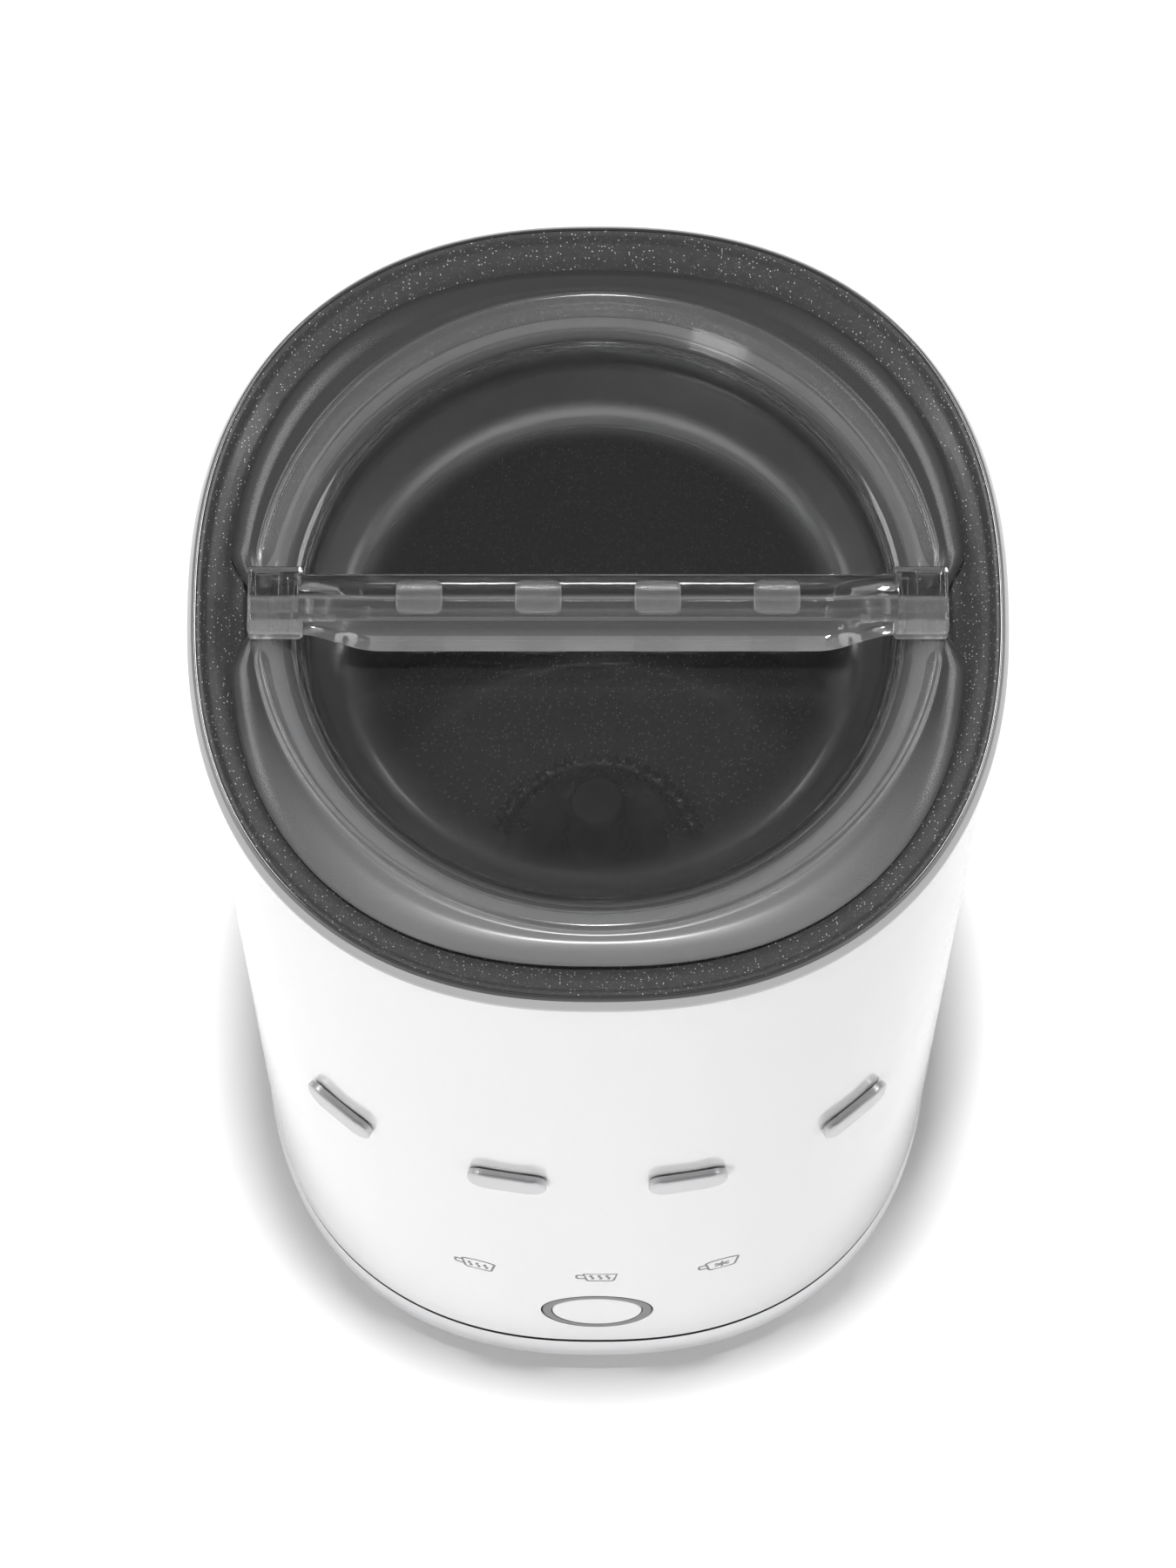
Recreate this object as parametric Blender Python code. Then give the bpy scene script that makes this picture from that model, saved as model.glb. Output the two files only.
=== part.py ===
"""A small electric milk frother: a whisking jug with a clear lid, standing on a power base.

Sizes are in millimetres and turn into metres where a mesh is made. +Z is up, the button faces -Y,
and the origin is the centre of the footprint, on the surface that the feet stand on.
"""

from math import copysign, cos, pi, radians, sin

import bmesh
import bpy
from mathutils import Vector

MM = 0.001

# Driving dimensions.
HALF_WIDTH = 53.5          # over the rolled steel lip
DEPTH_RATIO = 1.03         # front-to-back over side-to-side, where the plan is square-ish
PLAN_EXPONENT = 2.33       # of the superellipse in plan: 2 is round
HANDLE_TOP_Z = 178.0
RIM_Z = 174.8
SEAM_Z = 14.8              # between the power base and the jug
GAP = 0.3                  # between pieces that touch

BODY_TOP_R = HALF_WIDTH - 0.7
BODY_FOOT_R = 49.0
SHELL_WALL = 2.2
SHELL_TOP_Z = RIM_Z - 3.3
SHELL_FOOT_Z = SEAM_Z + 0.2
COVER_TOP_Z = SHELL_FOOT_Z + 2.2

CUP_FLOOR_Z = 77.0
CUP_NECK_R = 43.6
STEEL = 0.9

DECK_Z = 13.0              # top of the base's deck, which the jug stands over
SOCKET_R = 12.9
PLATE_Z = (1.6, 3.4)

BUTTON_Z = 30.4
BUTTON_R = 6.6
ICON_Z = 48.4
ICON_SPACING = 17.4
BAR_Z = 94.8
BAR_SIZE = (10.8, 5.6, 1.5)
BAR_X = (-34.9, -12.3, 12.3, 34.9)

FRAME_Z = (58.0, 60.5)
LEG_RADIUS = 36.0
POST_RADIUS = 35.0
LEG_ANGLES = (93, 213, 333)
MOTOR_R = 14.0
DRIVE_Z = FRAME_Z[1] + 4.0
MAGNET_X = 7.4
COIL_R = 14.3
COIL_Z = 4.4               # of the whisk's coil over the cup's floor

ROUND = 48                 # sides of the large turned pieces
FINE = 24
SMALL = 12


def shell_radius(z):
    """The outer wall's half width at height z, on its straight taper."""
    share = (z - SHELL_FOOT_Z) / (SHELL_TOP_Z - SHELL_FOOT_Z)
    return BODY_FOOT_R + (BODY_TOP_R - BODY_FOOT_R) * share


def plan_point(angle, radius, square):
    """A point of the plan outline: a circle where square is 0, the body's superellipse where it is 1."""
    exponent = 2 + square * (PLAN_EXPONENT - 2)
    depth = 1 + square * (DEPTH_RATIO - 1)
    c, s = cos(angle), sin(angle)
    x = radius * copysign(abs(c) ** (2 / exponent), c)
    y = radius * depth * copysign(abs(s) ** (2 / exponent), s)
    return x, y


def front_surface(x, z):
    """The outer wall's y at x on the front, and the angle that its face is turned about Z there."""
    radius = shell_radius(z)
    share = abs(x) / radius
    y = -radius * DEPTH_RATIO * (1 - share ** PLAN_EXPONENT) ** (1 / PLAN_EXPONENT)
    step = 0.01
    beyond = (abs(x) + step) / radius
    y_next = -radius * DEPTH_RATIO * (1 - beyond ** PLAN_EXPONENT) ** (1 / PLAN_EXPONENT)
    slope = (y_next - y) / step
    return y, copysign(slope, x * slope)


def material(name, colour, roughness, metallic=0.0, alpha=1.0):
    made = bpy.data.materials.get(name) or bpy.data.materials.new(name)
    made.use_nodes = True
    shader = made.node_tree.nodes["Principled BSDF"]
    shader.inputs["Base Color"].default_value = (*colour, 1)
    shader.inputs["Roughness"].default_value = roughness
    shader.inputs["Metallic"].default_value = metallic
    shader.inputs["Alpha"].default_value = alpha
    made.diffuse_color = (*colour, alpha)
    return made


WHITE = material("white_gloss", (0.86, 0.86, 0.86), 0.15)
SILVER = material("silver_paint", (0.62, 0.62, 0.63), 0.35, 0.6)
STAINLESS = material("stainless_steel", (0.6, 0.6, 0.6), 0.3, 1)
COATING = material("dark_coating", (0.05, 0.05, 0.05), 0.4)
CHROME = material("chrome", (0.7, 0.7, 0.7), 0.1, 1)
CLEAR = material("clear_plastic", (0.8, 0.8, 0.8), 0.05, 0, 0.35)
SILICONE = material("grey_silicone", (0.3, 0.3, 0.3), 0.6)
DARK_RING = material("dark_ring", (0.1, 0.1, 0.1), 0.4)
RUBBER = material("black_rubber", (0.03, 0.03, 0.03), 0.8)
BLACK = material("black_plastic", (0.04, 0.04, 0.04), 0.5)
INNER = material("inner_plastic", (0.35, 0.35, 0.36), 0.6)
BRASS = material("brass", (0.7, 0.5, 0.2), 0.3, 1)
ALUMINIUM = material("aluminium", (0.7, 0.7, 0.7), 0.4, 1)
BOARD = material("circuit_board", (0.02, 0.18, 0.06), 0.5)
MAGNET = material("magnet", (0.25, 0.25, 0.26), 0.3, 1)
WIRE_RED = material("red_insulation", (0.5, 0.03, 0.03), 0.5)
WIRE_BLUE = material("blue_insulation", (0.03, 0.06, 0.4), 0.5)


def empty(name, location=(0, 0, 0), parent=None):
    made = bpy.data.objects.new(name, None)
    made.location = Vector(location) * MM
    made.parent = parent
    bpy.context.scene.collection.objects.link(made)
    return made


def piece(name, bm, mat, parent, location=(0, 0, 0), turn=(0, 0, 0)):
    """Makes the object from a bmesh in millimetres, with its faces pointing out."""
    bmesh.ops.recalc_face_normals(bm, faces=bm.faces)
    bmesh.ops.scale(bm, vec=(MM,) * 3, verts=bm.verts)
    mesh = bpy.data.meshes.new(name)
    bm.to_mesh(mesh)
    bm.free()
    mesh.shade_smooth()
    mesh.set_sharp_from_angle(angle=radians(32))
    mesh.materials.append(mat)
    made = bpy.data.objects.new(name, mesh)
    made.location = Vector(location) * MM
    made.rotation_euler = turn
    made.parent = parent
    bpy.context.scene.collection.objects.link(made)
    return made


def turned(name, profile, mat, parent, sides=FINE, location=(0, 0, 0), turn=(0, 0, 0)):
    """A turned solid. profile is a list of (radius, z) or (radius, z, square).

    It starts and ends on the axis, or else it is a closed outline that clears the axis.
    """
    bm = bmesh.new()
    on_axis = profile[0][0] == 0
    rings = []
    for radius, z, *rest in profile[1:-1] if on_axis else profile:
        square = rest[0] if rest else 0
        points = [plan_point(2 * pi * i / sides, radius, square) for i in range(sides)]
        rings.append([bm.verts.new((x, y, z)) for x, y in points])
    pairs = list(zip(rings, rings[1:]))
    if on_axis:
        bm.faces.new(rings[0])
        bm.faces.new(rings[-1])
    else:
        pairs.append((rings[-1], rings[0]))
    for low, high in pairs:
        for i in range(sides):
            j = (i + 1) % sides
            bm.faces.new((low[i], low[j], high[j], high[i]))
    return piece(name, bm, mat, parent, location, turn)


def disc(name, radius, low, high, mat, parent, sides=FINE, location=(0, 0, 0), turn=(0, 0, 0)):
    profile = [(0, low), (radius, low), (radius, high), (0, high)]
    return turned(name, profile, mat, parent, sides, location, turn)


def ring(name, inner, outer, low, high, mat, parent, sides=FINE, location=(0, 0, 0), turn=(0, 0, 0)):
    profile = [(inner, low), (outer, low), (outer, high), (inner, high)]
    return turned(name, profile, mat, parent, sides, location, turn)


def block(name, size, location, mat, parent, bevel=0.0, turn=(0, 0, 0)):
    bm = bmesh.new()
    bmesh.ops.create_cube(bm, size=1)
    bmesh.ops.scale(bm, vec=size, verts=bm.verts)
    if bevel:
        bmesh.ops.bevel(bm, geom=bm.edges[:], offset=bevel, segments=2, affect="EDGES", profile=0.5)
    return piece(name, bm, mat, parent, location, turn)


def extruded(name, outline, thickness, mat, parent, location=(0, 0, 0), turn=(0, 0, 0)):
    """A plate whose outline lies in the local XZ plane, centred on y = 0."""
    bm = bmesh.new()
    face = bm.faces.new([bm.verts.new((x, -thickness / 2, z)) for x, z in outline])
    grown = bmesh.ops.extrude_face_region(bm, geom=[face])
    moved = [v for v in grown["geom"] if isinstance(v, bmesh.types.BMVert)]
    bmesh.ops.translate(bm, vec=(0, thickness, 0), verts=moved)
    return piece(name, bm, mat, parent, location, turn)


def torus(name, major, minor, mat, parent, sides=32, around=8, location=(0, 0, 0)):
    steps = [2 * pi * i / around for i in range(around)]
    profile = [(major + minor * cos(a), minor * sin(a)) for a in steps]
    return turned(name, profile, mat, parent, sides, location)


def wire(name, points, radius, mat, parent):
    """A lead on a smooth curve through the points, read off every few millimetres."""
    knots = [Vector(points[0])] + [Vector(p) for p in points] + [Vector(points[-1])]
    line = []
    steps = 6
    for a, b, c, d in zip(knots, knots[1:], knots[2:], knots[3:]):
        for i in range(steps):
            t = i / steps
            line.append(0.5 * (2 * b + (c - a) * t + (2 * a - 5 * b + 4 * c - d) * t**2
                               + (3 * b - 3 * c + d - a) * t**3))
    line.append(knots[-1])
    curve = bpy.data.curves.new(name, "CURVE")
    curve.dimensions = "3D"
    spline = curve.splines.new("POLY")
    spline.points.add(len(line) - 1)
    for point, place in zip(spline.points, line):
        point.co = (*(place * MM), 1)
    curve.bevel_depth = radius * MM
    curve.bevel_resolution = 1
    curve.use_fill_caps = True
    curve.materials.append(mat)
    made = bpy.data.objects.new(name, curve)
    made.parent = parent
    bpy.context.scene.collection.objects.link(made)
    return made


def tool(made):
    """Marks a shape that only cuts or joins another."""
    made.hide_render = True
    made.display_type = "WIRE"
    return made


def join_or_cut(target, others, operation):
    for other in others:
        modifier = target.modifiers.new(other.name, "BOOLEAN")
        modifier.operation = operation
        modifier.object = tool(other)


def screw(name, location, length, mat, parent, head=2.7, shank=1.4):
    """A pan-head screw, head down, standing on its head's underside."""
    profile = [(0, 0), (head * 0.85, 0), (head, 0.5), (head, 1.3), (shank, 1.3), (shank, length), (0, length)]
    return turned(name, profile, mat, parent, SMALL, location)


def around(radius, degrees):
    return radius * cos(radians(degrees)), radius * sin(radians(degrees))


# --- The power base -------------------------------------------------------------------------------

def power_base(base):
    outer = [(46.6, SEAM_Z - 0.2), (48.7, SEAM_Z - 0.2), (49.0, 14.1), (49.1, 11.0), (49.0, 7.5),
             (48.4, 5.0), (47.0, 3.1), (45.0, 2.2), (42.6, PLATE_Z[0])]
    inner = [(41.4, PLATE_Z[0]), (41.6, 3.6), (44.6, 4.6), (46.2, 6.6), (46.8, 9.0), (46.9, 11.2)]
    hole = [(SOCKET_R - 0.3, 11.2, 0), (SOCKET_R - 0.3, DECK_Z, 0)]
    profile = [(r, z, 1) for r, z in outer + inner] + hole + [(46.0, DECK_Z, 1)]
    shell = turned("base_shell", profile, SILVER, base, ROUND)
    posts = []
    for i, degrees in enumerate(LEG_ANGLES):
        x, y = around(POST_RADIUS, degrees)
        posts.append(ring(f"post_{i}", 1.7, 3.8, PLATE_Z[1] + GAP, 12.2, SILVER, base, SMALL, (x, y, 0)))
        screw(f"base_screw_{i + 1}", (x, y, 0.1), 10.4, STAINLESS, base)
    join_or_cut(shell, posts, "UNION")
    back = (0, 50.0, 8.0)
    join_or_cut(shell, [disc("gland_hole", 3.8, -4, 4, SILVER, base, SMALL, back, (radians(90), 0, 0))],
                "DIFFERENCE")
    gland = [(2.1, -4.8), (3.4, -4.8), (3.4, 0.1), (4.6, 0.3), (4.6, 1.5), (3.0, 4.0), (2.1, 4.0)]
    turned("cord_gland", gland, RUBBER, base, FINE, (0, 51.0, 8.0), (radians(-90), 0, 0))

    plate = disc("base_plate", 40.8, *PLATE_Z, BLACK, base, ROUND)
    holes = []
    for i, degrees in enumerate(LEG_ANGLES):
        x, y = around(POST_RADIUS, degrees)
        holes.append(disc(f"plate_hole_{i}", 1.7, 0, 6, BLACK, base, SMALL, (x, y, 0)))
    join_or_cut(plate, holes, "DIFFERENCE")
    for i in range(4):
        x, y = around(30, 45 + 90 * i)
        disc(f"foot_{i + 1}", 5.0, 0, PLATE_Z[0] - GAP, RUBBER, base, SMALL, (x, y, 0))

    boss = [(1.9, 3.7), (14.6, 3.7), (14.6, 5.6), (SOCKET_R - 0.7, 5.6), (SOCKET_R - 0.7, 18.4),
            (11.6, 19.2), (9.9, 19.2), (9.9, 9.8), (8.2, 9.8), (8.2, 19.2), (6.4, 19.2),
            (6.4, 9.8), (4.7, 9.8), (4.7, 19.2), (1.9, 19.2)]
    turned("base_connector", boss, BLACK, base, FINE)
    for name, radius in (("contact_ring_outer", 9.05), ("contact_ring_inner", 5.55)):
        ring(name, radius - 0.45, radius + 0.45, 10.1, 13.0, BRASS, base, FINE)
    turned("contact_pin", [(0, 3.7), (1.6, 3.7), (1.6, 20.4), (0.9, 21.2), (0, 21.2)], BRASS, base, SMALL)


# --- The jug's housing and works ------------------------------------------------------------------

def housing(jug):
    wall = [SHELL_FOOT_Z, 18.0, 66.0, 118.0, SHELL_TOP_Z]
    outer = [(shell_radius(z), z, 1) for z in wall]
    lip = [(BODY_TOP_R - SHELL_WALL, SHELL_TOP_Z, 1)]
    inner = [(shell_radius(z) - SHELL_WALL, z, 1) for z in reversed(wall[:-1])]
    shell = turned("outer_shell", outer + lip + inner, WHITE, jug, ROUND)
    front_y, _ = front_surface(0, BUTTON_Z)
    hole = disc("button_hole", 8.2, -6, 6, WHITE, jug, FINE, (0, front_y, BUTTON_Z), (radians(90), 0, 0))
    join_or_cut(shell, [hole], "DIFFERENCE")

    cover_r = shell_radius(SHELL_FOOT_Z) - SHELL_WALL - GAP
    profile = [(17.2, SHELL_FOOT_Z, 0), (cover_r, SHELL_FOOT_Z, 1), (cover_r, COVER_TOP_Z, 1),
               (17.2, COVER_TOP_Z, 0)]
    cover = turned("bottom_cover", profile, INNER, jug, ROUND)
    holes = []
    for i, degrees in enumerate(LEG_ANGLES):
        x, y = around(LEG_RADIUS, degrees)
        holes.append(disc(f"cover_hole_{i}", 1.8, 10, 25, INNER, jug, SMALL, (x, y, 0)))
        screw(f"cover_screw_{i + 1}", (x, y, SHELL_FOOT_Z - 1.6), 12, STAINLESS, jug)
    join_or_cut(cover, holes, "DIFFERENCE")

    for i, x in enumerate(BAR_X):
        y, turn = front_surface(x, BAR_Z)
        width, height, depth = BAR_SIZE
        outward = Vector((sin(turn), -cos(turn), 0))
        place = Vector((x, y, BAR_Z)) + outward * (depth / 2 + GAP + 0.2)
        ends = [(copysign(width / 2 - height / 2, cos(a)) + height / 2 * cos(a), height / 2 * sin(a))
                for a in (2 * pi * (k + 0.5) / 12 for k in range(12))]
        extruded(f"trim_bar_{i + 1}", ends, depth, CHROME, jug, place, (0, 0, turn))


def cup(jug):
    """The drawn steel cup: round below the neck, flaring to the body's outline, with a rolled lip."""
    flare = [(43.9, -10.4, 0), (44.9, -7.4, 0.2), (46.4, -4.9, 0.5), (48.0, -3.3, 0.7), (49.8, -2.4, 0.9),
             (50.9, -1.5, 1), (51.5, -0.5, 1)]
    lip = [(52.0, 0, 1), (52.4, 0, 1), (53.0, -0.5, 1), (53.4, -1.4, 1), (HALF_WIDTH, -2.2, 1),
           (HALF_WIDTH, -2.6, 1), (53.2, -3.0, 1), (52.3, -3.0, 1), (51.9, -2.2, 1)]
    back = [(50.6, -2.9, 1), (48.4, -4.3, 0.7), (47.0, -5.8, 0.5), (45.6, -8.2, 0.2), (44.7, -11.0, 0),
            (44.5, -14.0, 0)]
    inside = [(0, CUP_FLOOR_Z), (30.0, CUP_FLOOR_Z), (34.8, CUP_FLOOR_Z + 1.9), (37.6, CUP_FLOOR_Z + 6.0),
              (38.6, CUP_FLOOR_Z + 12.0), (43.2, 148.0), (CUP_NECK_R, RIM_Z - 13.0)]
    outside = [(44.1, 148.0), (39.5, CUP_FLOOR_Z + 12.0), (38.5, CUP_FLOOR_Z + 5.6),
               (35.4, CUP_FLOOR_Z + 1.1), (30.2, CUP_FLOOR_Z - STEEL), (0, CUP_FLOOR_Z - STEEL)]
    rim = [(r, RIM_Z + z, s) for r, z, s in flare + lip + back]
    turned("cup", inside + rim + outside, STAINLESS, jug, ROUND)
    support = [(45.3, 154.0, 0), (49.6, 154.0, 1), (49.7, 157.0, 1), (45.3, 157.0, 0)]
    turned("cup_support_ring", support, SILICONE, jug, ROUND)
    pin = [(0, 0.3), (4.2, 0.3), (4.2, 0.9), (1.5, 1.1), (1.5, 6.6), (0.8, 7.6), (0, 7.6)]
    turned("pivot_pin", pin, STAINLESS, jug, SMALL, (0, 0, CUP_FLOOR_Z))


def works(jug):
    """Heater, motor, their frame and the control board, in the foot of the jug."""
    under = CUP_FLOOR_Z - STEEL
    ring("heater_plate", 15.0, 31.0, under - 2.6, under - GAP, ALUMINIUM, jug, FINE)
    torus("heating_element", 20.0, 2.4, STAINLESS, jug, 32, 8, (0, 0, under - 5.4))
    x, y = around(27.6, 200)
    disc("thermostat", 4.4, under - 9.0, under - 2.9, BLACK, jug, SMALL, (x, y, 0))
    x, y = around(27.6, 340)
    disc("temperature_sensor", 2.6, under - 8.0, under - 2.9, BRASS, jug, SMALL, (x, y, 0))

    frame = ring("motor_frame", 4.2, 40.0, *FRAME_Z, INNER, jug, FINE)
    joined = []
    for i, degrees in enumerate(LEG_ANGLES):
        x, y = around(LEG_RADIUS, degrees)
        joined.append(ring(f"leg_{i}", 1.8, 4.0, COVER_TOP_Z + GAP, 59.0, INNER, jug, SMALL, (x, y, 0)))
        x, y = around(36.5, degrees + 60)
        joined.append(disc(f"prop_{i}", 3.0, 59.0, under - 1.0, INNER, jug, SMALL, (x, y, 0)))
    join_or_cut(frame, joined, "UNION")
    can = [(0, 29.0), (6, 29.0), (6, 31.0), (MOTOR_R - 1, 31.0), (MOTOR_R, 32.0), (MOTOR_R, 56.6),
           (MOTOR_R - 1, 57.6), (1.9, 57.6), (1.9, 42.0), (0, 42.0)]
    turned("motor", can, STAINLESS, jug, FINE)

    board_y = -40.2
    block("control_board", (46, 1.6, 35), (0, board_y, 37.0), BOARD, jug)
    block("press_switch", (6.2, 1.6, 6.2), (0, board_y - 1.9, BUTTON_Z), BLACK, jug)
    for i, side in enumerate((-1, 0, 1)):
        x = side * ICON_SPACING
        wall_y, turn = front_surface(x, ICON_Z)
        block(f"indicator_led_{i + 1}", (3.2, 1.6, 2.8), (x, board_y - 1.9, ICON_Z), CLEAR, jug)
        start = board_y - 3.0
        reach = start - (wall_y + SHELL_WALL * DEPTH_RATIO + 1.4)
        block(f"light_guide_{i + 1}", (6.0, reach, 5.0), (x, start - reach / 2, ICON_Z), CLEAR, jug)
    for name, side, mat in (("live_lead", 1, WIRE_RED), ("neutral_lead", -1, WIRE_BLUE)):
        run = [(10, -5, 26.6), (14, -14, 26.4), (18, -26, 25), (20, -34, 25), (20, -38.0, 28)]
        wire(name, [(x * side, y, z) for x, y, z in run], 1.0, mat, jug)


def socket(jug):
    """The jug's half of the connector: it drops over the base's boss at any angle."""
    low, roof = DECK_Z + 0.6, 22.0
    profile = [(0, roof), (SOCKET_R, roof), (SOCKET_R, low), (16.8, low), (16.8, roof + 1.8), (0, roof + 1.8)]
    turned("jug_socket", profile, BLACK, jug, FINE)
    for name, x in (("socket_contact_outer", 9.05), ("socket_contact_inner", -5.55)):
        disc(name, 0.6, 13.4, roof - GAP, BRASS, jug, SMALL, (x, 0, 0))


def drive(rotor):
    """What the motor turns: its shaft, and two magnets on a carrier close under the cup's floor."""
    disc("motor_shaft", 1.5, -21.0, 6.0, STAINLESS, rotor, SMALL)
    carrier = [(1.8, 0), (5, 0), (5, 2.2), (12.4, 2.2), (12.4, 6.6), (1.8, 6.6)]
    turned("magnet_carrier", carrier, INNER, rotor, FINE)
    for i, side in enumerate((-1, 1)):
        disc(f"drive_magnet_{i + 1}", 3.6, 6.9, 10.6, MAGNET, rotor, SMALL, (MAGNET_X * side, 0, 0))


# --- Button ---------------------------------------------------------------------------------------

def button(push, jug):
    """The local +Z of the button's empty points out of the front wall."""
    cap = [(0, -6.9), (2.6, -6.9), (2.6, -3.2), (BUTTON_R, -3.2), (BUTTON_R, -0.3), (BUTTON_R - 0.4, 0), (0, 0)]
    turned("push_button", cap, WHITE, push, FINE)
    guide = [(BUTTON_R + GAP, -5.4), (9.4, -5.4), (9.4, -3.0), (8.0, -3.0), (8.0, -0.1), (BUTTON_R + GAP, -0.1)]
    front_y, _ = front_surface(0, BUTTON_Z)
    turned("button_ring", guide, DARK_RING, jug, FINE, (0, front_y, BUTTON_Z), (radians(90), 0, 0))


# --- Lid ------------------------------------------------------------------------------------------

def lid_parts(lid):
    """The heights here are from the rim, up."""
    top_z = HANDLE_TOP_Z - RIM_Z
    well = [(0, -12.2), (29.0, -12.2), (33.6, -11.4), (36.6, -9.2), (38.2, -6.6), (38.8, -4.4)]
    crest = [(40.3, -4.0), (42.2, -1.0), (44.3, 0.6), (44.8, 0.2), (45.1, -1.6, 0.2), (45.7, -2.0, 0.3),
             (46.8, -1.0, 0.5), (47.7, -1.1, 0.7), (48.3, -2.0, 0.8)]
    under = [(48.1, -2.6, 0.8), (46.6, -3.1, 0.6), (45.0, -3.6, 0.3), (43.0, -3.8), (42.1, -4.6), (42.1, -17.0),
             (40.9, -17.0), (40.9, -6.2), (39.9, -7.6), (38.2, -10.4), (34.4, -13.2), (29.4, -13.9), (0, -13.9)]
    shell = turned("lid_shell", well + crest + under, CLEAR, lid, ROUND)
    seal = [(42.3, -16.6), (42.7, -16.6), (43.3, -15.4), (42.7, -14.2), (42.7, -13.0), (43.3, -11.8),
            (42.7, -10.6), (42.7, -9.4), (43.2, -9.0), (43.2, -5.6), (42.3, -5.6)]
    turned("lid_gasket", seal, SILICONE, lid, ROUND)

    bar_end, flat_to, depth, end_depth, width = 38.8, 29.0, 9.5, 5.6, 6.7
    steps = 6
    under_side = []
    for i in range(steps + 1):
        t = i / steps
        under_side.append((flat_to + (bar_end - flat_to) * t, top_z - depth + (depth - end_depth) * t**1.6))
    left = [(-x, z) for x, z in reversed(under_side)]
    outline = [(bar_end, top_z), (-bar_end, top_z)] + left + under_side
    handle = extruded("lid_handle", outline, width, CLEAR, lid)
    ends = []
    notches = []
    lug_low = -0.8
    for side in (-1, 1):
        middle = (side * 41.9, 0, (top_z + lug_low) / 2)
        ends.append(block(f"end_{side}", (7.4, 9.4, top_z - lug_low), middle, CLEAR, lid, 0.5))
        place = (side * 42.0, 0, lug_low - GAP + 4)
        notches.append(block(f"notch_{side}", (9.0, 9.4 + 2 * GAP, 8), place, CLEAR, lid))
    join_or_cut(handle, ends, "UNION")
    notches.append(block("bar_notch", (82, width + 2 * GAP, 8), (0, 0, top_z - end_depth - GAP + 4), CLEAR, lid))
    join_or_cut(shell, notches, "DIFFERENCE")


# --- Whisk ----------------------------------------------------------------------------------------

def whisk_parts(lift, spin):
    """A bush turns on the cup's pin. The hub has a blind bore for it, and a tall stem to lift it by."""
    ring("whisk_bush", 1.8, 3.0, 1.5, 7.6, INNER, lift, SMALL)
    body = [(0, 8.2), (3.3, 8.2), (3.3, 3.0), (10.6, 3.0), (10.6, 4.4), (6.4, 5.8), (4.6, 8.6),
            (4.0, 12.0), (4.0, 25.4), (3.0, 26.8), (0, 26.8)]
    hub = turned("whisk_hub", body, BLACK, spin, FINE)
    arms = []
    reach = COIL_R - 1.4 - GAP
    for i in range(4):
        degrees = 45 + 90 * i
        x, y = around((reach + 8) / 2, degrees)
        arms.append(block(f"arm_{i}", (reach - 8, 2.2, 1.2), (x, y, 3.7), BLACK, spin, 0, (0, 0, radians(degrees))))
    join_or_cut(hub, arms, "UNION")
    torus("whisk_coil", COIL_R, 1.4, STAINLESS, spin, 32, 8, (0, 0, COIL_Z))
    for i, side in enumerate((-1, 1)):
        disc(f"whisk_magnet_{i + 1}", 2.9, 0.9, 2.7, MAGNET, spin, SMALL, (MAGNET_X * side, 0, 0))


def main():
    for old in list(bpy.data.objects):
        bpy.data.objects.remove(old)
    base = empty("base")
    jug = empty("jug", parent=base)
    lid = empty("lid", (0, 0, RIM_Z), jug)
    rotor = empty("drive", (0, 0, DRIVE_Z), jug)
    lift = empty("whisk_lift", (0, 0, CUP_FLOOR_Z), jug)
    spin = empty("whisk", parent=lift)
    front_y, _ = front_surface(0, BUTTON_Z)
    push = empty("button", (0, front_y, BUTTON_Z), jug)
    push.rotation_euler = (radians(90), 0, 0)

    power_base(base)
    socket(jug)
    housing(jug)
    cup(jug)
    works(jug)
    drive(rotor)
    button(push, jug)
    lid_parts(lid)
    whisk_parts(lift, spin)


main()
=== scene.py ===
"""The looks of a small electric milk frother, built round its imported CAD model.

Sizes are in millimetres and turn into metres where a mesh is made. +Z is up and the button faces -Y.
"""

from math import atan2, ceil, copysign, cos, hypot, pi, radians, sin, tan

import bmesh
import bpy
from mathutils import Matrix, Vector


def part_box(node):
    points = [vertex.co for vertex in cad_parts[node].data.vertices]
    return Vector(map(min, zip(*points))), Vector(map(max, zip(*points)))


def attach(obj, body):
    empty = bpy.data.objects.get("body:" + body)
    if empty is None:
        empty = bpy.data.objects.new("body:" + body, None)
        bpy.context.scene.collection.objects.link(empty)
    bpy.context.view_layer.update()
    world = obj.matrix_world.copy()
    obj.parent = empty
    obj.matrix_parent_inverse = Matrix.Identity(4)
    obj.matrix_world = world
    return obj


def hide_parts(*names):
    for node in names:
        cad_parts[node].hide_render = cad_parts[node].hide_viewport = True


MM = 0.001

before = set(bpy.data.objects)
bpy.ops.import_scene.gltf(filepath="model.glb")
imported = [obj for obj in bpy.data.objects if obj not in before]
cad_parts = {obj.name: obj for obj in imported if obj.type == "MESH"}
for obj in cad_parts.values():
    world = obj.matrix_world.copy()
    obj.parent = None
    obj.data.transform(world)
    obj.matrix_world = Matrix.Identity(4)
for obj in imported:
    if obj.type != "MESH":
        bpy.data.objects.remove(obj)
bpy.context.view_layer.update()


def corner_mm(node, high=True):
    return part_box(node)[1 if high else 0] / MM


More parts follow.
